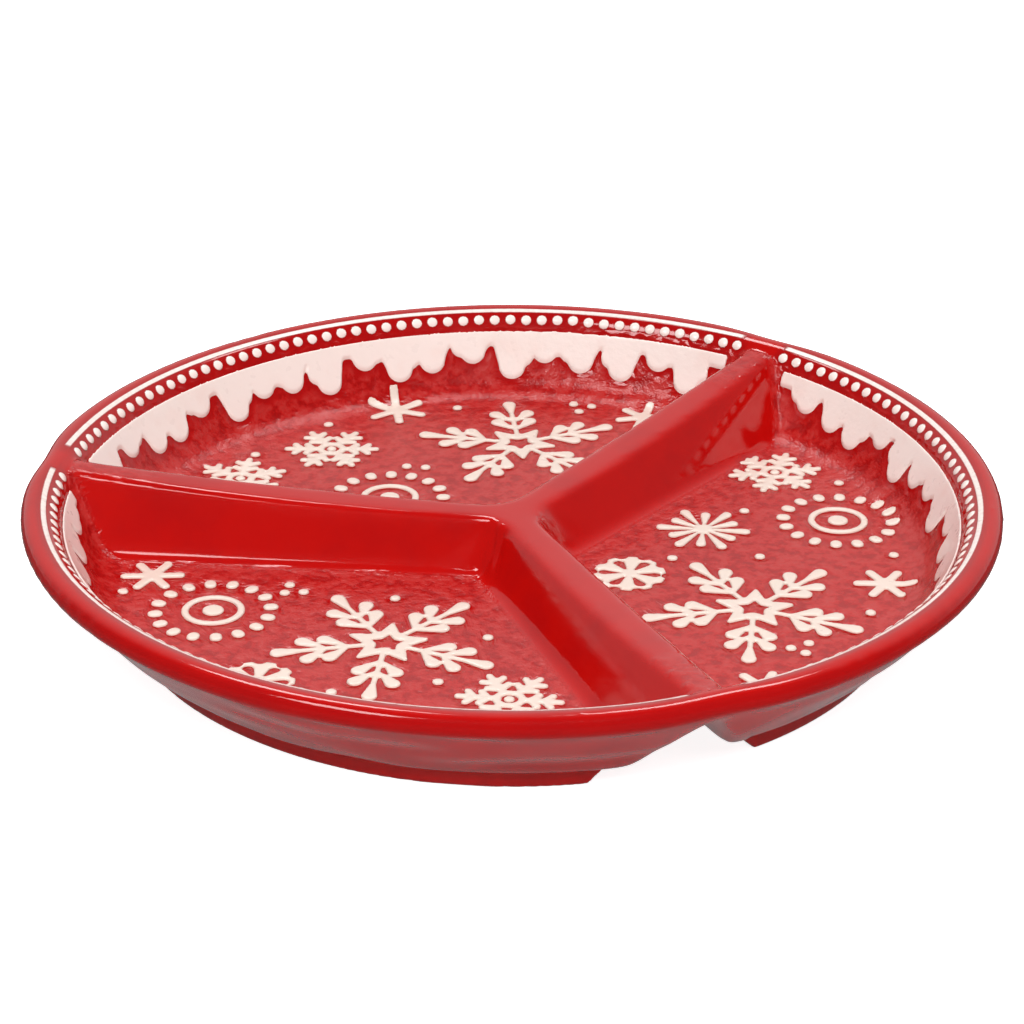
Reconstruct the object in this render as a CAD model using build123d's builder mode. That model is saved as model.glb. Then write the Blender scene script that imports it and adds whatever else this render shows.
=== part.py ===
"""Three-compartment round serving dish: a glazed ceramic body with a rolled rim,
hollow dividers, raised winter ornament and three foot segments. Millimetres."""

from build123d import *
import math
import os

os.makedirs("parts", exist_ok=True)

# Overall sizes
dish_diameter = 320.0
dish_height = 41.0
base_diameter = 262.0

# Rim
rim_roll_radius = 4.0
rim_depth = 8.0
rim_overhang = 3.0
lip_radius = 9.0
rim_skirt = 1.6
ridge_lap = 2.0

# Bowl wall and floor
wall_slope = 62.0
floor_height = 13.0
floor_thickness = 7.0
floor_corner_radius = 12.0
chine_radius = 3.0
wall_band_count = 3
wall_band_bulge = 0.5

# Dividers
compartment_count = 3
ridge_width = 9.5
ridge_meet_share = 0.775
ridge_dip = 8.2
ridge_depth = 6.0
ridge_rounding = 2.5
divider_draft = 30.0
divider_foot_radius = 6.0
divider_corner_radius = 7.0
divider_wall = 8.0

# Hollow under each divider
hollow_top_width = 5.0
notch_flare = 13.0
notch_flare_start = 18.0

# Feet
foot_width = 7.5
foot_setback = 3.0
foot_end_clearance = 8.4
foot_end_share = 0.87
foot_edge_radius = 1.0

# Raised ornament
relief_height = 0.8
stripe_height = 0.4
stripe_top_angle = 11.0
stripe_bottom_angle = 29.0
stripe_end_clearance = 8.0
bead_diameter = 3.8
bead_height = 0.8
bead_pitch = 5.9
bead_row_angle = 50.0
bead_end_clearance = 10.0
border_top_clearance = 0.3
border_band_depth = 6.0
border_end_clearance = 12.0
drip_pitch = 14.0
drip_tip_radius = 4.9
drip_short = 5.4
drip_long = 12.6
drip_shoulder_radius = 3.4
drip_shoulder_offset = 4.6
drip_shoulder_share = 0.6
drip_stray = 1.2
drip_length_wave = 2.4
drip_stray_wave = 1.7

# Snowflakes
fern_radius = 37.0
fern_arm_count = 5
fern_leaf_length = 14.5
fern_leaf_start = 11.5
fern_leaf_pitch = 7.0
fern_petal_width = 5.0
fern_stem_width = 1.9
fern_leaf_angle = 38.0
fern_star_radius = 14.5
fern_star_waist = 6.5
fern_star_bar = 3.2
fern_star_rounding = 0.8
rosette_radius = 21.0
rosette_dot_count = 16
rosette_dot_length = 5.0
rosette_dot_width = 4.0
rosette_ring_diameter = 20.4
rosette_ring_width = 2.4
rosette_centre_diameter = 7.0
ring_flake_radius = 17.0
ring_flake_bar = 2.5
ring_flake_barb = 5.5
ring_flake_barb_start = 1.25
ring_flake_barb_pitch = 4.2
ring_flake_barb_angle = 55.0
ring_flake_hub_diameter = 10.4
ring_flake_eye_diameter = 3.4
flake_arm_count = 6
asterisk_radius = 10.6
back_asterisk_radius = 11.5
asterisk_bar = 3.2
burst_radius = 16.0
burst_short_radius = 13.0
burst_ray_count = 12
burst_ray_width = 3.6
burst_hub_diameter = 6.0
lace_flake_radius = 12.0
lace_flake_hole_count = 6
lace_flake_hole_width = 3.6
lace_flake_bar = 1.8
lace_flake_scallop_count = 10
lace_flake_scallop_radius = 2.2
lace_flake_scallop_depth = 1.5
dot_diameter = 3.6

# Where the walls, lip and seats lie, as (radius, height)
outer_radius = dish_diameter / 2
base_radius = base_diameter / 2
crest_radius = outer_radius - rim_roll_radius
foot_height = floor_height - floor_thickness
slope = math.radians(wall_slope)
wall_run = math.cos(slope)
draft_tan = math.tan(math.radians(divider_draft))
sector = 360.0 / compartment_count
half_sector = sector / 2


def lip_point(angle, raised=0.0):
    """Point on the inside of the rim, at an angle from its crest."""
    reach = lip_radius + raised
    turn = math.radians(angle)
    return (
        crest_radius - reach * math.sin(turn),
        dish_height - lip_radius + reach * math.cos(turn),
    )


def wall_point(drop):
    """Point on the inner wall, a height below the end of the lip."""
    radius, height = lip_point(wall_slope)
    return (radius - drop / math.tan(slope), height - drop)


lip_end = lip_point(wall_slope)
rim_seat_inner = wall_point(rim_skirt * math.sin(slope))
rim_seat_outer = (outer_radius - rim_overhang, dish_height - rim_depth)
floor_edge = wall_point(lip_end[1] - floor_height)
ridge_end = lip_point(wall_slope * ridge_meet_share)
ridge_centre = (0, ridge_end[1] - ridge_dip)
seat_run = (rim_seat_inner[0] - rim_seat_outer[0], rim_seat_inner[1] - rim_seat_outer[1])
lap_share = ridge_lap / math.hypot(*seat_run)
ridge_seat_end = (
    rim_seat_inner[0] + seat_run[0] * lap_share,
    rim_seat_inner[1] + seat_run[1] * lap_share,
)
ridge_seat_centre = (0, ridge_centre[1] - ridge_depth)


def sag_point(centre, end):
    """Middle of the sagging line from the dish's centre out to its rim."""
    return (end[0] / 2, centre[1] + (end[1] - centre[1]) / 4)


def section_plane(angle):
    """Upright plane through the axis: local x is the radius, local y the height."""
    turn = math.radians(angle)
    return Plane(
        origin=(0, 0, 0),
        x_dir=(math.cos(turn), math.sin(turn), 0),
        z_dir=(math.sin(turn), -math.cos(turn), 0),
    )


def degrees_along(length, radius):
    return math.degrees(length / radius)


# Rim: one rolled ring that closes the top of the wall
with BuildPart() as rim_roll:
    with BuildSketch(Plane.XZ):
        with BuildLine():
            roll_side = (outer_radius, dish_height - rim_roll_radius)
            crest = (crest_radius, dish_height)
            TangentArc(roll_side, rim_seat_outer, tangent=(0, -1))
            RadiusArc(crest, roll_side, rim_roll_radius)
            ThreePointArc(crest, lip_point(wall_slope / 2), lip_end)
            Polyline(lip_end, rim_seat_inner, rim_seat_outer)
        make_face()
    revolve(axis=Axis.Z)

# Wedge between two dividers, with the draft of the divider walls
flare = math.atan(ridge_dip * draft_tan / ridge_end[0])
half_width_at_floor = ridge_width / 2 + (ridge_centre[1] - floor_height) * draft_tan
arm_turn = math.radians(half_sector)
wedge_side = arm_turn - flare
wedge_apex = half_width_at_floor * (
    math.sin(arm_turn) + math.cos(arm_turn) / math.tan(wedge_side)
)
headroom = 2 * lip_radius
wedge_reach = (outer_radius + headroom) / math.cos(wedge_side)


def wedge_outline():
    far_x = wedge_apex + wedge_reach * math.cos(wedge_side)
    far_y = wedge_reach * math.sin(wedge_side)
    with BuildSketch(Plane.XY.offset(floor_height)) as outline:
        with BuildLine():
            Polyline((wedge_apex, 0), (far_x, -far_y), (far_x, far_y), close=True)
        make_face()
        fillet(outline.vertices().sort_by(Axis.X)[0], divider_corner_radius)
    return outline.sketch


with BuildPart() as wedge:
    add(wedge_outline())
    extrude(amount=dish_height + headroom - floor_height, taper=-divider_draft)



def compartment(lift):
    """Hollow of one compartment, its floor and wall moved in by a lift."""
    low = floor_height + lift
    top = dish_height + headroom + lift
    edge = floor_edge[0] - lift * math.tan(slope / 2)
    wall_top = (edge + (top - low) / math.tan(slope), top)
    with BuildPart() as hollow:
        with Locations((0, 0, lift)):
            add(wedge.part)
        fillet(
            hollow.faces().sort_by(Axis.Z)[0].edges().filter_by(
                lambda side: side.center().X < outer_radius
            ),
            divider_foot_radius,
        )
        with BuildSketch(Plane.XZ):
            with BuildLine():
                FilletPolyline(
                    (0, low), (edge, low), wall_top, radius=floor_corner_radius - lift
                )
                Polyline(wall_top, (0, top), (0, low))
            make_face()
        revolve(axis=Axis.Z, mode=Mode.INTERSECT)
    return hollow.part


cavity = compartment(0)

# Hollow under one divider arm, running out through the wall as a flared notch
arm_reach = outer_radius + rim_roll_radius


def hollow_section(reach, extra):
    """Upright section of the hollow at a distance along the arm."""
    floor_half = half_width_at_floor + reach * math.tan(flare) - divider_wall + extra
    top_half = hollow_top_width / 2
    top_height = floor_height + (floor_half - extra - top_half) / draft_tan
    low_half = floor_half + (floor_height + foot_height) * draft_tan
    crown = (0, top_height + top_half)
    with BuildSketch(Plane.YZ.offset(reach)) as section:
        with BuildLine():
            Polyline(
                (-top_half, top_height),
                (-low_half, -foot_height),
                (low_half, -foot_height),
                (top_half, top_height),
            )
            ThreePointArc((top_half, top_height), crown, (-top_half, top_height))
        make_face()
    return section.sketch


with BuildPart() as arm_hollow:
    flare_start = base_radius - notch_flare_start
    flare_length = arm_reach - flare_start
    add(hollow_section(0, 0))
    for share in (0, 0.5, 1):
        add(hollow_section(flare_start + share * flare_length, notch_flare * share**2))
    loft()

# Pan: floor, outer wall and its half of both dividers, for one compartment
with BuildPart() as pan:
    with BuildSketch(section_plane(-half_sector)) as pan_profile:
        with BuildLine():
            chine = (base_radius, foot_height)
            Polyline(ridge_seat_centre, (0, foot_height), chine)
            rise = (rim_seat_outer[0] - chine[0], rim_seat_outer[1] - chine[1])
            wall_length = math.hypot(*rise)
            for band in range(wall_band_count):
                low = band / wall_band_count
                high = (band + 1) / wall_band_count
                middle = (low + high) / 2
                ThreePointArc(
                    (chine[0] + rise[0] * low, chine[1] + rise[1] * low),
                    (
                        chine[0] + rise[0] * middle + wall_band_bulge * rise[1] / wall_length,
                        chine[1] + rise[1] * middle - wall_band_bulge * rise[0] / wall_length,
                    ),
                    (chine[0] + rise[0] * high, chine[1] + rise[1] * high),
                )
            Line(rim_seat_outer, ridge_seat_end)
            ThreePointArc(
                ridge_seat_end,
                sag_point(ridge_seat_centre, ridge_seat_end),
                ridge_seat_centre,
            )
        make_face()
        fillet(
            pan_profile.vertices().sort_by_distance((*chine, 0))[0],
            chine_radius,
        )
    revolve(axis=Axis.Z, revolution_arc=sector)
    add(cavity, mode=Mode.SUBTRACT)
    with PolarLocations(0, 2, start_angle=-half_sector, angular_range=2 * sector):
        add(arm_hollow.part, mode=Mode.SUBTRACT)

# Ridge: the Y-shaped capping that closes the hollow dividers
with BuildPart() as pan_blank:
    add(pan_profile.sketch)
    revolve(axis=Axis.Z)

with BuildPart() as divider_ridge:
    with BuildSketch(Plane.XZ):
        with BuildLine():
            Polyline(ridge_centre, (0, floor_height), floor_edge, ridge_end)
            ThreePointArc(ridge_end, sag_point(ridge_centre, ridge_end), ridge_centre)
        make_face()
    revolve(axis=Axis.Z)
    with PolarLocations(0, compartment_count):
        add(wedge.part, mode=Mode.SUBTRACT)
    ridge_top = divider_ridge.faces().sort_by_distance((0, 0, ridge_centre[1]))[0]
    fillet(
        ridge_top.edges().filter_by(
            lambda edge: math.hypot(edge.center().X, edge.center().Y) < ridge_seat_end[0]
        ),
        ridge_rounding,
    )
    add(pan_blank.part, mode=Mode.SUBTRACT)
    add(rim_roll.part, mode=Mode.SUBTRACT)

# Foot: one curved bar under each pan, sloped at both ends
foot_outer_radius = base_radius - foot_setback
foot_inner_radius = foot_outer_radius - foot_width
notch_half_width = (
    half_width_at_floor
    + foot_outer_radius * math.tan(flare)
    - divider_wall
    + floor_thickness * draft_tan
)
foot_half_span = half_sector - degrees_along(
    notch_half_width + foot_end_clearance, foot_outer_radius
)

with BuildPart() as foot:
    with BuildSketch(section_plane(-foot_half_span)):
        with BuildLine():
            Polyline(
                (foot_inner_radius, 0),
                (foot_outer_radius, 0),
                (foot_outer_radius, foot_height),
                (foot_inner_radius, foot_height),
                close=True,
            )
        make_face()
    revolve(axis=Axis.Z, revolution_arc=2 * foot_half_span)
    foot_ends = foot.edges().filter_by(GeomType.LINE).group_by(Axis.Z)[0]
    chamfer(foot_ends, foot_height * foot_end_share)
    fillet(foot.edges().filter_by(GeomType.CIRCLE).group_by(Axis.Z)[0], foot_edge_radius)

# Raised stripe just inside the rim's crest
stripe_radius = lip_point(stripe_top_angle)[0]
stripe_half_span = half_sector - degrees_along(stripe_end_clearance, stripe_radius)
stripe_middle_angle = (stripe_top_angle + stripe_bottom_angle) / 2

with BuildPart() as stripe:
    with BuildSketch(section_plane(-stripe_half_span)):
        with BuildLine():
            ThreePointArc(
                lip_point(stripe_top_angle),
                lip_point(stripe_middle_angle),
                lip_point(stripe_bottom_angle),
            )
            Line(lip_point(stripe_bottom_angle), lip_point(stripe_bottom_angle, stripe_height))
            ThreePointArc(
                lip_point(stripe_bottom_angle, stripe_height),
                lip_point(stripe_middle_angle, stripe_height),
                lip_point(stripe_top_angle, stripe_height),
            )
            Line(lip_point(stripe_top_angle, stripe_height), lip_point(stripe_top_angle))
        make_face()
    revolve(axis=Axis.Z, revolution_arc=2 * stripe_half_span)

# One bead, a drafted button seated on the lip, and its row
bead_seat = lip_point(bead_row_angle)
bead_normal = lip_point(bead_row_angle, 1.0)
bead_plane = Plane(
    origin=(bead_seat[0], 0, bead_seat[1]),
    z_dir=(bead_normal[0] - bead_seat[0], 0, bead_normal[1] - bead_seat[1]),
)
bead_half_span = half_sector - degrees_along(bead_end_clearance, bead_seat[0])
bead_count = round(2 * bead_half_span / degrees_along(bead_pitch, bead_seat[0])) + 1

with BuildPart() as bead:
    with Locations(bead_plane):
        Cone(
            bottom_radius=bead_diameter / 2 + bead_height / 2,
            top_radius=bead_diameter / 2 - bead_height / 2,
            height=2 * bead_height,
        )
    add(rim_roll.part, mode=Mode.SUBTRACT)

# Skin that lies on a compartment's floor and walls: every raised figure is cut from it
with BuildPart() as relief_skin:
    add(cavity)
    add(compartment(relief_height), mode=Mode.SUBTRACT)


def petal(length, width):
    """Teardrop along +X: a point at the origin, round at the far end."""
    tip = width / 2
    centre = length - tip
    turn = math.acos(tip / centre)
    touch = (centre - tip * math.cos(turn), tip * math.sin(turn))
    with BuildSketch() as outline:
        with BuildLine():
            Line((0, 0), touch)
            ThreePointArc(touch, (length, 0), (touch[0], -touch[1]))
            Line((touch[0], -touch[1]), (0, 0))
        make_face()
    return outline.sketch


def bar(start, end, width):
    """Straight bar along +X with round ends."""
    with BuildSketch() as outline:
        with Locations(((start + end) / 2, 0)):
            SlotOverall(end - start, width)
    return outline.sketch


def star_points(count, tip, waist, first):
    """Corners of a pointed star, tip and waist by turns."""
    corners = []
    for step in range(2 * count):
        reach = tip if step % 2 == 0 else waist
        turn = math.radians(first + step * 180 / count)
        corners.append((reach * math.cos(turn), reach * math.sin(turn)))
    return corners


def open_star():
    """Star outline whose points lie between the flake's arms."""
    corners = star_points(fern_arm_count, fern_star_radius, fern_star_waist, 180 / fern_arm_count)
    with BuildSketch() as solid_star:
        with BuildLine():
            Polyline(*corners, close=True)
        make_face()
        fillet(solid_star.vertices(), fern_star_rounding)
    with BuildSketch() as star:
        add(solid_star.sketch)
        offset(
            solid_star.sketch,
            amount=-fern_star_bar,
            kind=Kind.INTERSECTION,
            mode=Mode.SUBTRACT,
        )
    return star.sketch


def fern_flake():
    """Large flake: leafy arms round an open star."""
    stem_start = fern_star_waist - fern_star_bar
    stem_end = fern_radius - fern_leaf_length / 2
    with BuildSketch() as arm:
        add(bar(stem_start, stem_end, fern_stem_width))
        with Locations((fern_radius - fern_leaf_length, 0)):
            add(petal(fern_leaf_length, fern_petal_width))
        for place in (fern_leaf_start, fern_leaf_start + fern_leaf_pitch):
            with Locations(
                Location((place, 0), fern_leaf_angle), Location((place, 0), -fern_leaf_angle)
            ):
                add(petal(fern_leaf_length - fern_petal_width / 2, fern_petal_width))
    with BuildSketch() as flake:
        add(open_star())
        with PolarLocations(0, fern_arm_count):
            add(arm.sketch)
    return flake.sketch


def rosette():
    """Ring of oval dots round a circle and a centre dot."""
    with BuildSketch() as flake:
        Circle(rosette_ring_diameter / 2)
        Circle(rosette_ring_diameter / 2 - rosette_ring_width, mode=Mode.SUBTRACT)
        Circle(rosette_centre_diameter / 2)
        with PolarLocations(rosette_radius - rosette_dot_length / 2, rosette_dot_count):
            SlotOverall(rosette_dot_length, rosette_dot_width)
    return flake.sketch


def ring_flake():
    """Six barbed arms round a ring with an eye."""
    hub = ring_flake_hub_diameter / 2
    with BuildSketch() as arm:
        add(bar(hub - ring_flake_bar, ring_flake_radius, ring_flake_bar))
        first_barb = hub + ring_flake_barb_start
        for place in (first_barb, first_barb + ring_flake_barb_pitch):
            with Locations(
                Location((place, 0), ring_flake_barb_angle),
                Location((place, 0), -ring_flake_barb_angle),
            ):
                add(bar(0, ring_flake_barb, ring_flake_bar))
    with BuildSketch() as flake:
        Circle(hub)
        Circle(hub - ring_flake_bar, mode=Mode.SUBTRACT)
        Circle(ring_flake_eye_diameter / 2)
        with PolarLocations(0, flake_arm_count):
            add(arm.sketch)
    return flake.sketch


def asterisk(radius):
    """Six round-ended bars that cross in the middle."""
    with BuildSketch() as flake:
        with PolarLocations(0, flake_arm_count):
            add(bar(-asterisk_bar / 2, radius, asterisk_bar))
    return flake.sketch


def burst():
    """Blunt rays, long and short by turns, on a small hub."""
    with BuildSketch() as flake:
        Circle(burst_hub_diameter / 2)
        for step in range(burst_ray_count):
            reach = burst_radius if step % 2 == 0 else burst_short_radius
            with Locations(Location((0, 0), step * 360 / burst_ray_count)):
                add(petal(reach, burst_ray_width))
    return flake.sketch


def lace_flake():
    """Round flake pierced by petal-shaped holes."""
    hole_length = lace_flake_radius - 2 * lace_flake_bar
    with BuildSketch() as flake:
        Circle(lace_flake_radius)
        with PolarLocations(lace_flake_bar, lace_flake_hole_count):
            add(petal(hole_length, lace_flake_hole_width), mode=Mode.SUBTRACT)
        scallop_reach = lace_flake_radius + lace_flake_scallop_radius - lace_flake_scallop_depth
        with PolarLocations(scallop_reach, lace_flake_scallop_count):
            Circle(lace_flake_scallop_radius, mode=Mode.SUBTRACT)
    return flake.sketch


def dot():
    with BuildSketch() as flake:
        Circle(dot_diameter / 2)
    return flake.sketch


def tongue(length, tip, half_base):
    """Round-ended tongue along +X, foreshortened as the wall is from above."""
    tip_run = tip * wall_run
    centre = length * wall_run - tip_run
    root = -border_band_depth * wall_run / 2
    with BuildSketch() as outline:
        with BuildLine():
            Polyline(
                (root, -half_base),
                (0, -half_base),
                (centre, -tip),
                (centre, tip),
                (0, half_base),
                (root, half_base),
                close=True,
            )
        make_face()
        with Locations((centre, 0)):
            Ellipse(tip_run, tip)
    return outline.sketch


def drip(length, side):
    """Main tongue with a shorter shoulder on one side."""
    half_base = drip_pitch / 2
    shoulder = drip_shoulder_radius + (length - drip_short) * drip_shoulder_share
    with BuildSketch() as outline:
        add(tongue(length, drip_tip_radius, half_base))
        with Locations((0, side * drip_shoulder_offset)):
            add(tongue(shoulder, drip_shoulder_radius, half_base - drip_shoulder_offset))
    return outline.sketch


def dripping_border(phase):
    """Snow band under the bead row, melting into drips of uneven length."""
    band_top = rim_seat_inner[0] - border_top_clearance
    band_low = band_top - border_band_depth * wall_run
    band_half_span = half_sector - degrees_along(border_end_clearance, band_low)
    drip_step = degrees_along(drip_pitch, band_low)
    drip_count = int(2 * band_half_span / drip_step)
    with BuildSketch() as border:
        with BuildLine():
            CenterArc((0, 0), band_top, -band_half_span, 2 * band_half_span)
            CenterArc((0, 0), band_low, -band_half_span, 2 * band_half_span)
            turn = math.radians(band_half_span)
            for side in (-1, 1):
                Line(
                    (band_top * math.cos(turn), side * band_top * math.sin(turn)),
                    (band_low * math.cos(turn), side * band_low * math.sin(turn)),
                )
        make_face()
        for step in range(drip_count):
            angle = (step - (drip_count - 1) / 2) * drip_step
            share = (1 + math.sin(drip_length_wave * step + phase)) / 2
            length = drip_short + (drip_long - drip_short) * share
            stray = drip_stray * math.sin(drip_stray_wave * step + phase)
            angle += degrees_along(stray, band_low)
            turn = math.radians(angle)
            place = (band_low * math.cos(turn), band_low * math.sin(turn))
            with Locations(Location(place, angle + 180)):
                add(drip(length, (-1) ** (step // 2)))
    return border.sketch


def raise_figure(name, outline, middle, spots):
    """Cut figures from the skin and write them: spots are (inset, side, turn)."""
    with BuildPart() as figure:
        with BuildSketch(Plane.XY.rotated((0, 0, middle))):
            for inset, side, turn in spots:
                with Locations(Location((floor_edge[0] - inset, side), turn)):
                    add(outline)
        extrude(amount=dish_height)
        add(relief_skin.part, rotation=(0, 0, middle), mode=Mode.INTERSECT)
    figure.part.label = name
    export_step(figure.part, f"parts/{name}.step")
    print(name, len(figure.part.solids()), round(figure.part.volume, 1))


def write_turned(name, piece, middle):
    """Write a piece that each compartment has, turned to its place."""
    with BuildPart() as turned:
        add(piece, rotation=(0, 0, middle))
    turned.part.label = name
    export_step(turned.part, f"parts/{name}.step")


rim_roll.part.label = "rim_roll"
export_step(rim_roll.part, "parts/rim_roll.step")
divider_ridge.part.label = "divider_ridge"
export_step(divider_ridge.part, "parts/divider_ridge.step")

# Middle of each compartment and the places of its figures
compartments = {"back": sector, "left": 2 * sector, "right": 0.0}
figures = {
    "back": {
        "fern_flake_back": (fern_flake(), [(52.3, -37.8, -16.5)]),
        "rosette_back": (rosette(), [(77.1, 21.3, 0.0)]),
        "ring_flake_back": (ring_flake(), [(31.5, 26.2, 7.0)]),
        "ring_flake_back_side": (ring_flake(), [(42.8, 64.1, 30.0)]),
        "asterisk_back": (asterisk(back_asterisk_radius), [(8.2, -7.4, -15.0)]),
        "asterisk_back_side": (asterisk(asterisk_radius), [(48.7, -88.5, 20.0)]),
        "dots_back": (
            dot(),
            [
                (14.5, -28.9, 0.0),
                (27.8, -69.8, 0.0),
                (32.1, -75.2, 0.0),
                (34.6, -69.0, 0.0),
                (55.5, 6.7, 0.0),
                (58.9, 0.9, 0.0),
                (25.7, 52.9, 0.0),
                (10.7, 20.0, 0.0),
            ],
        ),
    },
    "left": {
        "fern_flake_left": (fern_flake(), [(63.1, 6.0, 30.5)]),
        "rosette_left": (rosette(), [(46.4, -52.2, 0.0)]),
        "ring_flake_left": (ring_flake(), [(57.7, 58.5, 0.0)]),
        "asterisk_left": (asterisk(asterisk_radius), [(52.6, -84.5, 10.0)]),
        "lace_flake_left": (lace_flake(), [(19.7, -10.0, 0.0)]),
        "dots_left": (
            dot(),
            [
                (38.4, -84.3, 0.0),
                (74.9, -44.6, 0.0),
                (69.7, -42.2, 0.0),
                (73.9, -37.7, 0.0),
                (88.5, -11.4, 0.0),
                (85.4, 28.9, 0.0),
                (53.1, 34.5, 0.0),
                (28.2, 12.8, 0.0),
            ],
        ),
    },
    "right": {
        "fern_flake_right": (fern_flake(), [(53.9, -27.0, -17.5)]),
        "rosette_right": (rosette(), [(29.3, 41.9, 0.0)]),
        "ring_flake_right": (ring_flake(), [(52.5, 78.2, 18.0)]),
        "asterisk_right": (asterisk(asterisk_radius), [(12.4, -3.9, 5.0)]),
        "asterisk_right_side": (asterisk(asterisk_radius), [(48.1, -79.0, 15.0)]),
        "burst_right": (burst(), [(74.2, 28.9, 0.0)]),
        "lace_flake_right": (lace_flake(), [(95.8, -7.6, 0.0)]),
        "dots_right": (
            dot(),
            [
                (29.9, 72.2, 0.0),
                (61.3, 45.3, 0.0),
                (54.1, 10.7, 0.0),
                (10.0, 17.8, 0.0),
                (16.7, -25.1, 0.0),
                (40.9, -52.5, 0.0),
                (35.5, -48.5, 0.0),
                (36.2, -55.2, 0.0),
                (82.8, 5.8, 0.0),
            ],
        ),
    },
}

for name, middle in compartments.items():
    write_turned(f"pan_{name}", pan.part, middle)
    write_turned(f"foot_{name}", foot.part, middle)
    write_turned(f"rim_stripe_{name}", stripe.part, middle)
    with BuildPart() as bead_row:
        with PolarLocations(
            0,
            bead_count,
            start_angle=middle - bead_half_span,
            angular_range=2 * bead_half_span,
            endpoint=True,
        ):
            add(bead.part)
    bead_row.part.label = f"bead_row_{name}"
    export_step(bead_row.part, f"parts/bead_row_{name}.step")
    border_spot = [(floor_edge[0], 0.0, 0.0)]
    raise_figure(f"snow_border_{name}", dripping_border(math.radians(middle)), middle, border_spot)
    for figure_name, (outline, spots) in figures[name].items():
        raise_figure(figure_name, outline, middle, spots)
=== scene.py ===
"""Round serving dish in three compartments: one glazed red body on curved feet,
with cream ornament in relief, on a pale studio floor. Metres, in the part's own frame."""

import math

import bpy
import numpy as np
from mathutils import Matrix, Vector, noise
from mathutils.bvhtree import BVHTree


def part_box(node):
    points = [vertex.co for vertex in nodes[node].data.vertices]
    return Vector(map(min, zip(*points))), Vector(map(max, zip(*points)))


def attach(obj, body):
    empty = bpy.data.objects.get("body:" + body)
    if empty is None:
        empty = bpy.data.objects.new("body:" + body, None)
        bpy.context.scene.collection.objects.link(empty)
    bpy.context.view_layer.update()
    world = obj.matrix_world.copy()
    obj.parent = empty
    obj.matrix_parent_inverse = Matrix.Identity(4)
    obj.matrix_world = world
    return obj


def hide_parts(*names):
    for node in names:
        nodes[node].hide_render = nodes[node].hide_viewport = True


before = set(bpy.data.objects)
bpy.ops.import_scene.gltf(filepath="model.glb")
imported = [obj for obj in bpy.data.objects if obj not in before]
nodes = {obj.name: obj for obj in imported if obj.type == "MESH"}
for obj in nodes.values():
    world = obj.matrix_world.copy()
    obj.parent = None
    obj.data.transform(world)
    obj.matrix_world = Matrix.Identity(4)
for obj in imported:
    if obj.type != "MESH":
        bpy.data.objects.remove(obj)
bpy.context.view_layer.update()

MM = 0.001

# The dish as the frame gives it: each compartment with the direction of its middle, in degrees
COMPARTMENTS = {"back": 120.0, "left": 240.0, "right": 0.0}
ARM_ANGLES = [math.radians(angle) for angle in (180.0, 60.0, -60.0)]
BODY_NODES = ["rim_roll", "divider_ridge"] + [f"pan_{name}" for name in COMPARTMENTS]
RIM_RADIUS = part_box("rim_roll")[1].x
DISH_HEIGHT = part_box("rim_roll")[1].z
FOOT_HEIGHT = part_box("foot_right")[1].z
FLOOR_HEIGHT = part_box("rosette_left")[0].z
RELIEF_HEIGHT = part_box("rosette_left")[1].z - FLOOR_HEIGHT

# Body. A pair of values is where a soft change starts and where it ends.
MERGE_DISTANCE = 0.001 * MM
BODY_VOXEL = 1.0 * MM
BODY_SOFTENING = 9
BODY_FACES = 112000
BODY_SETTLING = 4
LOBE_SOFTENING = 80
LOBE_SETTLING = 14
LOBE_FACING = (0.2, 0.7)
LOBE_TOP = (DISH_HEIGHT - 9 * MM, DISH_HEIGHT - 6 * MM)
LOBE_REACH = (100 * MM, 120 * MM)
FLOOR_SPLITS = 6
FLOOR_FACE_AREA = 1.4 * MM * MM
FLOOR_TILT = 0.99
FLOOR_MARGIN = 1 * MM
PINCH_DEPTH = 1.6 * MM
PINCH_WIDTH = 15 * MM
PINCH_REACH = (RIM_RADIUS - 14 * MM, RIM_RADIUS - 4 * MM)
RIPPLE_DEPTH = 1.0 * MM
RIPPLES_AROUND = 5.0
RIPPLES_UP = 95.0
RIPPLE_FACING = (0.3, 0.7)
RIPPLE_BELOW_CREST = (5 * MM, 11 * MM)
RIPPLE_OVER_FOOT = (FOOT_HEIGHT, FOOT_HEIGHT + 4 * MM)
FOOT_VOXEL = 0.8 * MM
FOOT_SOFTENING = 3

# Figures and snow borders
FIGURE_VOXEL = 0.42 * MM
FIGURE_SOFTENING = 4
FIGURE_ROOT = 1.6 * MM
UNDERSIDE_FACING = -0.2
BORDER_VOXEL = 0.45 * MM
BORDER_EDGE = 0.1 * MM
BORDER_EDGE_RUN = 0.7 * MM
BORDER_EDGE_DROP = 1.27 * MM
HELD_DOWN = {"ring_flake_right": RELIEF_HEIGHT, "asterisk_back": 6.0 * MM}

# Stripes and beads on the lip
CREST_RADIUS = RIM_RADIUS - 4 * MM
LIP_RADIUS = 9 * MM
STRIPE_LENGTHS = 260
STRIPE_ROWS = 9
STRIPE_TOP = math.radians(15.5)
STRIPE_FOOT = math.radians(33.0)
STRIPE_HEIGHT = 0.14 * MM
STRIPE_DIP = 0.6
STRIPE_EDGE = 0.25
STRIPE_END = 0.006
STRIPE_ROOT = 0.6 * MM
BEAD_SEGMENTS = 12
BEAD_RINGS = 5
BEAD_RADIUS = 2.6 * MM
BEAD_SHAPE = (1.06, 0.88, 0.38)
BEAD_SINK = 0.58 * MM
BEAD_ROOT = 0.5 * MM

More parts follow.
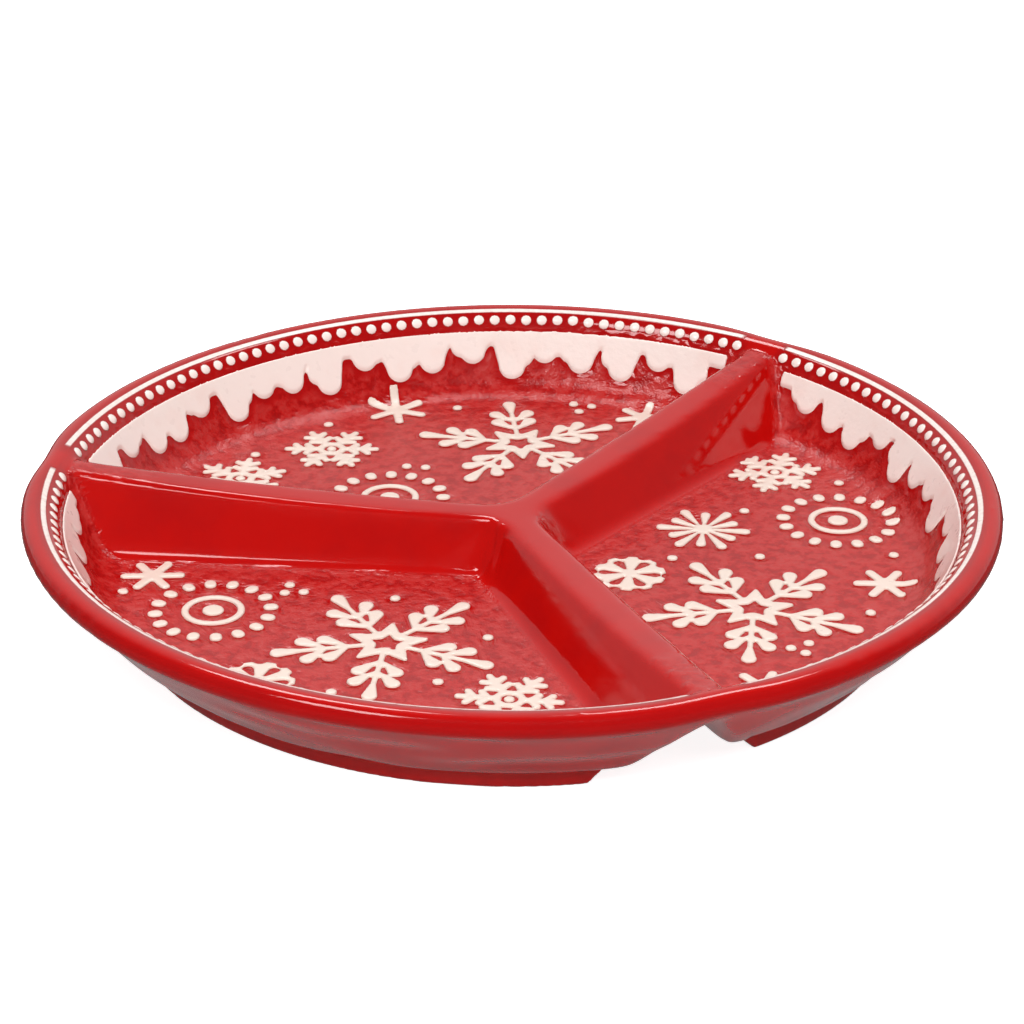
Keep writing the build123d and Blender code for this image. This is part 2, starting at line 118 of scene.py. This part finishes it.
# Where glaze gathers beside the ornament, where shade is painted on the rim's outer side, and where the
# body is stippled
POOL_REACH = 1.9 * MM
POOL_EDGE = (0.3 * MM, POOL_REACH)
# Painted shade on the outer side of the rim roll, under its crest, added at this strength to the measure of
# gathered glaze.
RIM_PAINTED_SHADE = 0.9
RIM_SIDE_FACING = (0.3, 0.8)
RIM_SIDE_REACH = (RIM_RADIUS - 6 * MM, RIM_RADIUS - 2 * MM)
STIPPLE_RADIUS = RIM_RADIUS - 12 * MM
STIPPLE_BOTTOM = FLOOR_HEIGHT - 2 * MM
STIPPLE_LEVEL = (0.93, 0.99)
STIPPLE_LEVEL_TOP = (FLOOR_HEIGHT + 3 * MM, FLOOR_HEIGHT + 7 * MM)
STIPPLE_WALL = (0.03, 0.15)
STIPPLE_WALL_REACH = (116 * MM, 124 * MM)

# Colours
RED = (0.51, 0.003, 0.002, 1.0)
DEEP_RED = (0.45, 0.003, 0.003, 1.0)
# Painted sheen: a lighter, pinker red on the stipple's peaks, standing in for the reflection of the bright
# room behind the dish.
PAINTED_SHEEN_RED = (0.50, 0.025, 0.022, 1.0)
DENTED_RED = (0.36, 0.003, 0.003, 1.0)
# Red of glaze gathered beside the ornament, also used for the painted shade on the rim's outer side.
POOLED_AND_SHADE_RED = (0.34, 0.003, 0.004, 1.0)
# Painted light: the foot's red is lighter than the body's to make up for the shade under the dish.
FOOT_RED_PAINTED_LIGHTER = (0.82, 0.010, 0.008, 1.0)
# One cream slip in two copies with painted light: darker for the figures on the floors, which get the most
# light, and lighter for the borders, stripes and beads on the walls and lip, which get less.
CREAM_PAINTED_DARKER = (0.82, 0.68, 0.59, 1.0)
CREAM_PAINTED_LIGHTER = (0.98, 0.86, 0.80, 1.0)
BLUSH = (0.92, 0.70, 0.63, 1.0)
BARE_CLAY = (0.60, 0.50, 0.42, 1.0)
PAPER = (0.8, 0.8, 0.8, 1.0)
WHITE = (1.0, 1.0, 1.0, 1.0)

# Stage and camera
STAGE_SIZE = 12.0
PAPER_GLOW = 0.9
NEAR_MIRROR = 0.28
FAR_MIRROR = 0.12
MIRROR_CHANGE = (145 * MM, 210 * MM)
ROOM_DIM = 0.10
ROOM_GAIN = 0.75
ROOM_CHANGE = (0.1, 0.8)
VIEW_AZIMUTH = math.radians(7.25)
VIEW_ELEVATION = math.radians(24.95)
VIEW_DISTANCE = 1.0
VIEW_LENS = 107.2
VIEW_SENSOR = 36.0
VIEW_DIP = math.radians(0.59)
VIEW_ROLL = math.radians(0.15)


# Modelling helpers


def pick(*pieces):
    """Select only these pieces, the first of them active."""
    bpy.ops.object.select_all(action="DESELECT")
    for piece in pieces:
        piece.select_set(True)
    bpy.context.view_layer.objects.active = pieces[0]


def modify(piece, kind, **settings):
    """Add a modifier, set it and apply it."""
    pick(piece)
    modifier = piece.modifiers.new(kind.lower(), kind)
    for name, value in settings.items():
        setattr(modifier, name, value)
    bpy.ops.object.modifier_apply(modifier=modifier.name)


def remesh(piece, voxel):
    """Close a piece into one even skin."""
    modify(piece, "REMESH", mode="VOXEL", voxel_size=voxel, use_smooth_shade=True)


def soften(piece, rounds, group=""):
    """Smooth a piece, or one vertex group of it."""
    modify(piece, "SMOOTH", factor=0.5, iterations=rounds, vertex_group=group)


def copy_nodes(name, *node_names):
    """New piece from copies of CAD nodes, with their loose triangles merged."""
    copies = []
    for node_name in node_names:
        copied = bpy.data.objects.new(name, nodes[node_name].data.copy())
        bpy.context.scene.collection.objects.link(copied)
        copied.data.materials.clear()
        copies.append(copied)
    pick(*copies)
    if len(copies) > 1:
        bpy.ops.object.join()
    piece = bpy.context.view_layer.objects.active
    piece.name = name
    bpy.ops.object.mode_set(mode="EDIT")
    bpy.ops.mesh.select_all(action="SELECT")
    bpy.ops.mesh.remove_doubles(threshold=MERGE_DISTANCE)
    bpy.ops.object.mode_set(mode="OBJECT")
    return piece


def select_faces(piece, test):
    """Enter edit mode with only the faces selected that pass a test."""
    pick(piece)
    bpy.ops.object.mode_set(mode="EDIT")
    bpy.ops.mesh.select_mode(type="FACE")
    bpy.ops.mesh.select_all(action="DESELECT")
    bpy.ops.object.mode_set(mode="OBJECT")
    for face in piece.data.polygons:
        face.select = test(face)
    bpy.ops.object.mode_set(mode="EDIT")


def triangle_count(piece):
    """Number of triangles that a piece's faces make."""
    return sum(len(face.vertices) - 2 for face in piece.data.polygons)


def corners(piece):
    """Places of a piece's vertices, one row each."""
    flat = np.zeros(len(piece.data.vertices) * 3, np.float32)
    piece.data.vertices.foreach_get("co", flat)
    return flat.reshape(-1, 3).astype(float)


def facings(piece):
    """Normals of a piece's vertices, one row each."""
    normals = np.zeros(len(piece.data.vertices) * 3, np.float32)
    piece.data.vertex_normals.foreach_get("vector", normals)
    return normals.reshape(-1, 3).astype(float)


def put_corners(piece, places):
    """Move a piece's vertices to new places."""
    piece.data.vertices.foreach_set("co", places.astype(np.float32).ravel())
    piece.data.update()


def out_from_axis(places, normals):
    """Distance of each vertex from the dish's axis, and how far it faces away from it."""
    radius = np.maximum(np.hypot(places[:, 0], places[:, 1]), MM)
    outward = (places[:, 0] * normals[:, 0] + places[:, 1] * normals[:, 1]) / radius
    return radius, outward


def turn_between(angles, start):
    """Angles measured from a start, from minus half a turn to half a turn."""
    return (angles - start + math.pi) % (2 * math.pi) - math.pi


def smooth_step(values, low, high):
    """0 below low, 1 above high, smooth between."""
    share = np.clip((values - low) / (high - low), 0.0, 1.0)
    return share * share * (3 - 2 * share)


def plateau(share, edge):
    """1 in the middle of a run from 0 to 1, falling to 0 over an edge at both ends."""
    return np.minimum(smooth_step(share, 0.0, edge), 1 - smooth_step(share, 1 - edge, 1.0))


def tree_of(piece):
    """Search tree over a finished piece's faces."""
    polygons = [tuple(face.vertices) for face in piece.data.polygons]
    return BVHTree.FromPolygons([tuple(place) for place in corners(piece)], polygons)


def group_vertices(piece, name, weights):
    """Vertex group with one weight per vertex."""
    group = piece.vertex_groups.new(name=name)
    for index in np.nonzero(weights > 0.01)[0]:
        group.add([int(index)], float(weights[index]), "REPLACE")


def write_measure(piece, name, values):
    """Keep one number per vertex with the piece, for its material."""
    measure = piece.data.attributes.new(name, "FLOAT", "POINT")
    measure.data.foreach_set("value", np.asarray(values, np.float32))


def dress(piece, material, slot, *node_names):
    """Give a finished piece its material and its place in the frame."""
    piece.data.materials.clear()
    piece.data.materials.append(material)
    pick(piece)
    bpy.ops.object.shade_smooth()
    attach(piece, "root")
    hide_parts(*node_names)


# Body and feet


def make_body():
    """Rim, pans and ridge as one clay body: fused, softened and worked by hand."""
    body = copy_nodes("dish_body", *BODY_NODES)
    remesh(body, BODY_VOXEL)
    soften(body, BODY_SOFTENING)
    group_vertices(body, "lobes", lobe_weights(body))
    soften(body, LOBE_SOFTENING, "lobes")
    work_by_hand(body)
    modify(body, "DECIMATE", ratio=min(1.0, BODY_FACES / triangle_count(body)))
    soften(body, BODY_SETTLING)
    soften(body, LOBE_SETTLING, "lobes")
    refine_floors(body)
    return body


def lobe_weights(body):
    """How far each vertex belongs to the outer walls under the rim."""
    places = corners(body)
    normals = facings(body)
    radius, outward = out_from_axis(places, normals)
    facing_out = smooth_step(outward - normals[:, 2], *LOBE_FACING)
    below_rim = 1 - smooth_step(places[:, 2], *LOBE_TOP)
    return facing_out * below_rim * smooth_step(radius, *LOBE_REACH)


def work_by_hand(body):
    """Draw the rim in at each divider and leave the throwing marks on the outer wall."""
    places = corners(body)
    normals = facings(body)
    radius, outward = out_from_axis(places, normals)
    around = np.arctan2(places[:, 1], places[:, 0])
    pinch = np.zeros(len(places))
    for arm in ARM_ANGLES:
        off_arm = np.abs(turn_between(around, arm)) * RIM_RADIUS
        pinch += np.exp(-((off_arm / PINCH_WIDTH) ** 2))
    shrink = 1 - PINCH_DEPTH * pinch * smooth_step(radius, *PINCH_REACH) / radius
    places[:, 0] *= shrink
    places[:, 1] *= shrink
    wall = smooth_step(outward * shrink, *RIPPLE_FACING)
    wall *= smooth_step(DISH_HEIGHT - places[:, 2], *RIPPLE_BELOW_CREST)
    wall *= smooth_step(places[:, 2], *RIPPLE_OVER_FOOT)
    for index in np.nonzero(wall > 0.01)[0]:
        spot = Vector((around[index] * RIPPLES_AROUND, places[index, 2] * RIPPLES_UP, 0.0))
        places[index] += normals[index] * (RIPPLE_DEPTH * noise.noise(spot) * wall[index])
    put_corners(body, places)


def is_wide_floor(face):
    """True for a face of a compartment's floor that is still too wide."""
    level = face.normal.z > FLOOR_TILT and abs(face.center.z - FLOOR_HEIGHT) < FLOOR_MARGIN
    return level and face.area > FLOOR_FACE_AREA


def refine_floors(body):
    """Split the wide faces of the floors, fine enough to mark gathered glaze on."""
    for _ in range(FLOOR_SPLITS):
        select_faces(body, is_wide_floor)
        bpy.ops.mesh.subdivide(number_cuts=1)
        bpy.ops.object.mode_set(mode="OBJECT")


def make_foot(name):
    """Curved foot with soft edges, flat where it stands."""
    foot = copy_nodes(f"foot_segment_{name}", f"foot_{name}")
    remesh(foot, FOOT_VOXEL)
    soften(foot, FOOT_SOFTENING)
    places = corners(foot)
    places[:, 2] = np.maximum(places[:, 2], 0.0)
    put_corners(foot, places)
    return foot


# Ornament


def square_top_edge(border):
    """Turn the border's sharp top edge into a square one."""
    places = corners(border)
    top = places[:, 2] > places[:, 2].max() - BORDER_EDGE
    shrink = 1 - BORDER_EDGE_RUN / np.hypot(places[top, 0], places[top, 1])
    places[top, 0] *= shrink
    places[top, 1] *= shrink
    places[top, 2] -= BORDER_EDGE_DROP
    put_corners(border, places)


def hold_down(figure, height):
    """Press what stands more than a height over the floor into the clay behind it."""
    places = corners(figure)
    places[:, 2] = np.minimum(places[:, 2], FLOOR_HEIGHT + height)
    put_corners(figure, places)


def make_figure(node_name):
    """Raised figure with soft edges, rooted in the surface that it lies on."""
    figure = copy_nodes(f"raised_{node_name}", node_name)
    voxel = FIGURE_VOXEL
    if node_name.startswith("snow_border"):
        square_top_edge(figure)
        voxel = BORDER_VOXEL
    if node_name in HELD_DOWN:
        hold_down(figure, HELD_DOWN[node_name])
    select_faces(figure, lambda face: face.normal.z < UNDERSIDE_FACING)
    bpy.ops.transform.translate(value=(0.0, 0.0, -FIGURE_ROOT))
    bpy.ops.object.mode_set(mode="OBJECT")
    remesh(figure, voxel)
    soften(figure, FIGURE_SOFTENING)
    return figure


def make_stripe(name, middle, body_tree):
    """Stripe of slip laid on the body's lip, as long as the CAD one."""
    cad_places = corners(nodes[f"rim_stripe_{name}"])
    off_middle = turn_between(np.arctan2(cad_places[:, 1], cad_places[:, 0]), middle)
    bpy.ops.mesh.primitive_grid_add(x_subdivisions=STRIPE_LENGTHS, y_subdivisions=STRIPE_ROWS, size=1.0)
    stripe = bpy.context.view_layer.objects.active
    stripe.name = f"stripe_{name}"
    places = corners(stripe)
    along = places[:, 0] + 0.5
    across = places[:, 1] + 0.5
    around = middle + off_middle.min() + (off_middle.max() - off_middle.min()) * along
    lean = STRIPE_TOP + (STRIPE_FOOT - STRIPE_TOP) * across
    radius = CREST_RADIUS - LIP_RADIUS * np.sin(lean)
    level = DISH_HEIGHT - LIP_RADIUS + LIP_RADIUS * np.cos(lean)
    shape = np.minimum(plateau(across, STRIPE_EDGE), plateau(along, STRIPE_END))
    height = STRIPE_HEIGHT * ((1 + STRIPE_DIP) * shape - STRIPE_DIP)
    spots = np.column_stack((radius * np.cos(around), radius * np.sin(around), level))
    for index, spot in enumerate(spots):
        seat, normal = body_tree.find_nearest(Vector(spot))[:2]
        places[index] = seat + normal * height[index]
    put_corners(stripe, places)
    modify(stripe, "SOLIDIFY", thickness=STRIPE_ROOT, offset=-1.0)
    return stripe


def make_bead():
    """One drop of slip: a ball squashed to a dome, with a flat root."""
    bpy.ops.object.select_all(action="DESELECT")
    bpy.ops.mesh.primitive_uv_sphere_add(
        segments=BEAD_SEGMENTS, ring_count=BEAD_RINGS, radius=BEAD_RADIUS
    )
    bead = bpy.context.view_layer.objects.active
    bead.scale = BEAD_SHAPE
    bpy.ops.object.transform_apply(location=False, rotation=False, scale=True)
    places = corners(bead)
    places[:, 2] = np.maximum(places[:, 2], -BEAD_ROOT) - BEAD_SINK
    put_corners(bead, places)
    return bead


def bead_places(node_name):
    """Middle of each bead in a row, in order round the dish, from its CAD solids."""
    row = copy_nodes("bead_places", node_name)
    pick(row)
    bpy.ops.mesh.separate(type="LOOSE")
    found = []
    for bead in list(bpy.context.selected_objects):
        found.append(corners(bead).mean(axis=0))
        bpy.data.objects.remove(bead)
    return sorted(found, key=lambda place: math.atan2(place[1], place[0]))


def make_bead_row(name, body_tree):
    """Row of copies of one drop, each sunk into the lip and turned to face out of it."""
    pattern = make_bead()
    beads = []
    for place in bead_places(f"bead_row_{name}"):
        seat, lean = body_tree.find_nearest(Vector(place))[:2]
        bead = bpy.data.objects.new("bead", pattern.data.copy())
        bpy.context.scene.collection.objects.link(bead)
        bead.location = seat
        bead.rotation_euler = lean.to_track_quat("Z", "Y").to_euler()
        beads.append(bead)
    bpy.data.objects.remove(pattern)
    pick(*beads)
    bpy.ops.object.join()
    row = bpy.context.view_layer.objects.active
    row.name = f"beads_{name}"
    bpy.ops.object.transform_apply(location=True, rotation=True, scale=True)
    return row


# Measures that the materials read


def rise_over_body(figure, body_tree):
    """Height of each vertex over the body's surface, in millimetres."""
    rises = []
    for place in corners(figure):
        spot, normal = body_tree.find_nearest(Vector(place))[:2]
        rises.append((Vector(place) - spot).dot(normal) / MM)
    return rises


def gap_to_figures(places, figures):
    """Distance of each place from the nearest figure, up to the reach of gathered glaze."""
    nearest = np.full(len(places), POOL_REACH)
    for figure in figures:
        tree = tree_of(figure)
        low = corners(figure).min(axis=0) - POOL_REACH
        high = corners(figure).max(axis=0) + POOL_REACH
        near = np.all((places > low) & (places < high), axis=1)
        for index in np.nonzero(near)[0]:
            gap = tree.find_nearest(Vector(places[index]), POOL_REACH)[3]
            if gap is not None:
                nearest[index] = min(nearest[index], gap)
    return nearest


def mark_glaze_and_shade(body, figures):
    """Mark where glaze gathers beside the ornament, where shade is painted on the rim's outer side, and
    what is stippled.
    """
    places = corners(body)
    normals = facings(body)
    radius, outward = out_from_axis(places, normals)
    beside = 1 - smooth_step(gap_to_figures(places, figures), *POOL_EDGE)
    # Painted shade on the outer side of the rim roll, under its crest.
    rim_shade = smooth_step(outward, *RIM_SIDE_FACING) * smooth_step(radius, *RIM_SIDE_REACH)
    write_measure(body, "pool_and_rim_shade", np.maximum(beside, RIM_PAINTED_SHADE * rim_shade))
    inside = (radius < STIPPLE_RADIUS) & (places[:, 2] > STIPPLE_BOTTOM)
    level = smooth_step(normals[:, 2], *STIPPLE_LEVEL)
    level *= 1 - smooth_step(places[:, 2], *STIPPLE_LEVEL_TOP)
    wall = smooth_step(-outward, *STIPPLE_WALL) * smooth_step(radius, *STIPPLE_WALL_REACH)
    write_measure(body, "floor", np.maximum(level, wall) * inside)


# Shader expressions


class Value:
    """A shader socket that takes part in Python expressions."""

    def __init__(self, finish, socket):
        self.finish = finish
        self.socket = socket

    def math(self, operation, first, second):
        """Math node on two values."""
        return self.finish.node("ShaderNodeMath", {"operation": operation}, {0: first, 1: second})

    def __add__(self, other):
        return self.math("ADD", self, other)

    def __radd__(self, other):
        return self.math("ADD", other, self)

    def __sub__(self, other):
        return self.math("SUBTRACT", self, other)

    def __rsub__(self, other):
        return self.math("SUBTRACT", other, self)

    def __mul__(self, other):
        return self.math("MULTIPLY", self, other)

    def __rmul__(self, other):
        return self.math("MULTIPLY", other, self)

    def step(self, low, high):
        """0 below low, 1 above high, smooth between."""
        return self.finish.node(
            "ShaderNodeMapRange",
            {"interpolation_type": "SMOOTHSTEP"},
            {"Value": self, "From Min": low, "From Max": high},
        )


class Finish:
    """Node tree of one material, or of the world."""

    def __init__(self, owner):
        owner.use_nodes = True
        self.owner = owner
        self.tree = owner.node_tree
        self.tree.nodes.clear()

    def node(self, kind, settings=None, inputs=None, output=0):
        """Add a node, set it, feed its sockets and give back one output."""
        made = self.tree.nodes.new(kind)
        for name, value in (settings or {}).items():
            setattr(made, name, value)
        for name, value in (inputs or {}).items():
            if isinstance(value, Value):
                self.tree.links.new(value.socket, made.inputs[name])
            else:
                made.inputs[name].default_value = value
        return Value(self, made.outputs[output]) if len(made.outputs) else None

    def colour(self, factor, first, second):
        """Mix of two colours."""
        return self.node(
            "ShaderNodeMix", {"data_type": "RGBA"}, {0: factor, 6: first, 7: second}, 2
        )

    def place(self):
        """Object coordinates."""
        return self.node("ShaderNodeTexCoord", output="Object")

    def measure(self, name):
        """Number that is kept with each vertex of the piece."""
        return self.node("ShaderNodeAttribute", {"attribute_name": name}, output="Fac")

    def light_path(self, ray):
        """1 for one kind of ray, 0 for the others."""
        return self.node("ShaderNodeLightPath", output=ray)

    def noise(self, size, detail=3.0, roughness=0.5):
        """Even noise whose features are about one size across."""
        return self.node(
            "ShaderNodeTexNoise",
            {},
            {"Vector": self.place(), "Scale": 1.0 / size, "Detail": detail, "Roughness": roughness},
        )

    def mix(self, factor, first, second):
        """Mix of two shaders."""
        return self.node("ShaderNodeMixShader", {}, {0: factor, 1: first, 2: second})

    def glow(self, strength):
        """White light given off evenly."""
        return self.node("ShaderNodeEmission", {}, {"Color": WHITE, "Strength": strength})

    def glaze(self, colour, roughness, bump, bump_height, coat):
        """Glossy fired surface."""
        normal = self.node("ShaderNodeBump", {}, {"Height": bump, "Distance": bump_height, "Strength": 1.0})
        inputs = {
            "Base Color": colour,
            "Roughness": roughness,
            "IOR": 1.5,
            "Coat Weight": coat,
            "Coat Roughness": 0.05,
            "Normal": normal,
        }
        surface = self.node("ShaderNodeBsdfPrincipled", {}, inputs)
        self.node("ShaderNodeOutputMaterial", {}, {"Surface": surface})


# Materials


def red_glaze():
    """Body glaze: mottled red, darker where it gathers beside the ornament, with painted shade on the rim's
    outer side, stippled on floors and inner walls, darker in the stipple's hollows and with a painted sheen
    on its peaks.
    """
    finish = Finish(bpy.data.materials.new("red_glaze"))
    mottle = finish.noise(size=20 * MM, detail=4.0).step(0.4, 0.75)
    pool_and_rim_shade = finish.measure("pool_and_rim_shade")
    open_floor = finish.measure("floor") * (1.0 - pool_and_rim_shade)
    dents = finish.noise(size=4.5 * MM, detail=3.0, roughness=0.6)
    grain = finish.noise(size=1.8 * MM, detail=4.0, roughness=0.65)
    stipple = 0.75 * dents + 0.25 * grain
    hollows = 1.0 - stipple.step(0.38, 0.56)
    sheen_peaks = stipple.step(0.42, 0.62)
    colour = finish.colour(mottle, RED, DEEP_RED)
    colour = finish.colour(open_floor * hollows, colour, DENTED_RED)
    # Painted sheen on the stipple's peaks of the open floors and inner walls.
    colour = finish.colour(open_floor * sheen_peaks, colour, PAINTED_SHEEN_RED)
    # Darker beside the ornament where glaze gathers, and painted shade on the rim's outer side.
    colour = finish.colour(pool_and_rim_shade * 0.6, colour, POOLED_AND_SHADE_RED)
    roughness = 0.05 + 0.05 * finish.noise(size=9 * MM) + 0.17 * open_floor
    finish.glaze(colour, roughness, bump=stipple * open_floor, bump_height=0.75 * MM, coat=0.0)
    return finish.owner


def foot_glaze():
    """Foot glaze, its red painted lighter than the body's to make up for the shade under the dish, wiped
    off the faces that the dish stands on.
    """
    finish = Finish(bpy.data.materials.new("foot_glaze"))
    height = finish.node("ShaderNodeSeparateXYZ", {}, {0: finish.place()}, "Z")
    wiped = 1.0 - (height + 0.4 * MM * finish.noise(size=3 * MM)).step(0.3 * MM, 0.8 * MM)
    mottle = finish.noise(size=10 * MM).step(0.3, 0.7)
    colour = finish.colour(mottle * 0.2, FOOT_RED_PAINTED_LIGHTER, POOLED_AND_SHADE_RED)
    colour = finish.colour(wiped, colour, BARE_CLAY)
    roughness = 0.28 + 0.5 * wiped
    finish.glaze(colour, roughness, bump=finish.noise(size=1.5 * MM), bump_height=0.08 * MM, coat=0.0)
    return finish.owner


def cream_relief(name, cream):
    """Cream slip on the raised ornament, with red gathered round its foot."""
    finish = Finish(bpy.data.materials.new(name))
    worn = finish.measure("rise") + 0.06 * (finish.noise(size=1.6 * MM, detail=3.0) - 0.5)
    flush = finish.noise(size=12 * MM, detail=4.0).step(0.5, 0.8)
    colour = finish.colour(flush * 0.35, cream, BLUSH)
    colour = finish.colour(worn.step(0.04, 0.16), POOLED_AND_SHADE_RED, colour)
    roughness = 0.22 + 0.15 * finish.noise(size=5 * MM)
    finish.glaze(colour, roughness, bump=finish.noise(size=2.5 * MM), bump_height=0.12 * MM, coat=0.4)
    return finish.owner


# Stage: pale floor, soft light and the camera


def make_floor():
    """Pale floor, white to the camera and dim where the glaze mirrors it."""
    bpy.ops.mesh.primitive_plane_add(size=STAGE_SIZE)
    floor = bpy.context.view_layer.objects.active
    floor.name = "studio_floor"
    finish = Finish(bpy.data.materials.new("pale_floor"))
    paper = finish.node("ShaderNodeBsdfDiffuse", {}, {"Color": PAPER})
    lit = finish.node("ShaderNodeAddShader", {}, {0: paper, 1: finish.glow(PAPER_GLOW)})
    surface = finish.mix(finish.light_path("Is Camera Ray"), paper, lit)
    reach = finish.node("ShaderNodeVectorMath", {"operation": "LENGTH"}, {0: finish.place()}, "Value")
    dim = finish.mix(reach.step(*MIRROR_CHANGE), finish.glow(NEAR_MIRROR), finish.glow(FAR_MIRROR))
    surface = finish.mix(finish.light_path("Is Glossy Ray"), surface, dim)
    finish.node("ShaderNodeOutputMaterial", {}, {"Surface": surface})
    floor.data.materials.append(finish.owner)


def make_world():
    """White to the camera; a soft room, lighter behind the dish, to everything else."""
    world = bpy.data.worlds.new("studio")
    bpy.context.scene.world = world
    finish = Finish(world)
    way = finish.node("ShaderNodeTexCoord", output="Generated")
    depth = finish.node("ShaderNodeSeparateXYZ", {}, {0: way}, "Y")
    room = ROOM_DIM + ROOM_GAIN * depth.step(*ROOM_CHANGE)
    room_light = finish.node("ShaderNodeBackground", {}, {"Strength": room})
    white = finish.node("ShaderNodeBackground", {}, {"Color": WHITE, "Strength": 1.0})
    surface = finish.mix(finish.light_path("Is Camera Ray"), room_light, white)
    finish.node("ShaderNodeOutputWorld", {}, {"Surface": surface})


def make_softbox(name, place, target, size, watts, mirrored=True, lighting=True):
    """Rectangular lamp. One that is not mirrored leaves no glare on the glaze, and
    one that is not lighting leaves only its glare."""
    bpy.ops.object.light_add(type="AREA", location=place)
    lamp = bpy.context.view_layer.objects.active
    lamp.name = name
    lamp.data.shape = "RECTANGLE"
    lamp.data.size, lamp.data.size_y = size
    lamp.data.energy = watts
    lamp.visible_glossy = mirrored
    lamp.visible_diffuse = lighting
    lamp.rotation_euler = (Vector(target) - Vector(place)).to_track_quat("-Z", "Y").to_euler()


def make_lamps():
    """Two strips behind the dish, a broad light in front and a window that the rim mirrors."""
    make_softbox(
        "left_strip",
        place=(-0.45, 0.7, 1.25),
        target=(0.0, 0.0, 0.0),
        size=(0.5, 0.22),
        watts=3.6,
    )
    make_softbox(
        "right_strip",
        place=(0.25, 0.7, 1.25),
        target=(0.0, 0.0, 0.0),
        size=(0.5, 0.22),
        watts=3.0,
    )
    make_softbox(
        "front_fill",
        place=(0.15, -1.15, 1.5),
        target=(0.0, 0.0, 0.02),
        size=(1.6, 1.0),
        watts=38.0,
        mirrored=False,
    )
    make_softbox(
        "left_window",
        place=(-0.56, -0.65, 1.24),
        target=(-0.03, -0.16, 0.04),
        size=(0.55, 0.4),
        watts=7.0,
        lighting=False,
    )


def make_camera():
    """Camera at the photograph's viewing angle, aimed near the middle of the rim."""
    rim_centre = Vector((0.0, 0.0, DISH_HEIGHT))
    back = Vector(
        (
            math.sin(VIEW_AZIMUTH) * math.cos(VIEW_ELEVATION),
            -math.cos(VIEW_AZIMUTH) * math.cos(VIEW_ELEVATION),
            math.sin(VIEW_ELEVATION),
        )
    )
    bpy.ops.object.camera_add(location=rim_centre + back * VIEW_DISTANCE)
    camera = bpy.context.view_layer.objects.active
    camera.data.sensor_width = VIEW_SENSOR
    camera.data.lens = VIEW_LENS
    aim = (-back).to_track_quat("-Z", "Y").to_matrix()
    turn = Matrix.Rotation(-VIEW_DIP, 3, "X") @ Matrix.Rotation(VIEW_ROLL, 3, "Z")
    camera.rotation_euler = (aim @ turn).to_euler()
    bpy.context.scene.camera = camera


# The dish


def make_ornament(body_tree):
    """All raised pieces, each with the name of the node that it stands for."""
    ornament = []
    for node_name in sorted(nodes):
        if not node_name.startswith(("pan_", "foot_", "bead_row_", "rim_", "divider_ridge")):
            ornament.append((make_figure(node_name), node_name))
    for name, middle in COMPARTMENTS.items():
        stripe = make_stripe(name, math.radians(middle), body_tree)
        ornament.append((stripe, f"rim_stripe_{name}"))
        ornament.append((make_bead_row(name, body_tree), f"bead_row_{name}"))
    return ornament


def make_dish():
    """Body, ornament and feet, dressed and riding on the frame."""
    red = red_glaze()
    cream = cream_relief("cream_relief", CREAM_PAINTED_DARKER)
    snow = cream_relief("cream_relief_painted_lighter", CREAM_PAINTED_LIGHTER)
    foot_red = foot_glaze()
    body = make_body()
    body_tree = tree_of(body)
    ornament = make_ornament(body_tree)
    for piece, node_name in ornament:
        write_measure(piece, "rise", rise_over_body(piece, body_tree))
        # Wall and lip pieces get the cream painted lighter, and floor figures the cream painted darker,
        # evening out the light that they get.
        on_wall = node_name.startswith(("snow_border", "bead_row", "rim_stripe"))
        dress(piece, snow if on_wall else cream, "cream_relief", node_name)
    mark_glaze_and_shade(body, [piece for piece, node_name in ornament])
    dress(body, red, "red_glaze", *BODY_NODES)
    for name in COMPARTMENTS:
        dress(make_foot(name), foot_red, "foot_glaze", f"foot_{name}")


make_dish()
make_floor()
make_world()
make_lamps()
make_camera()
bpy.context.scene.view_settings.view_transform = "Standard"
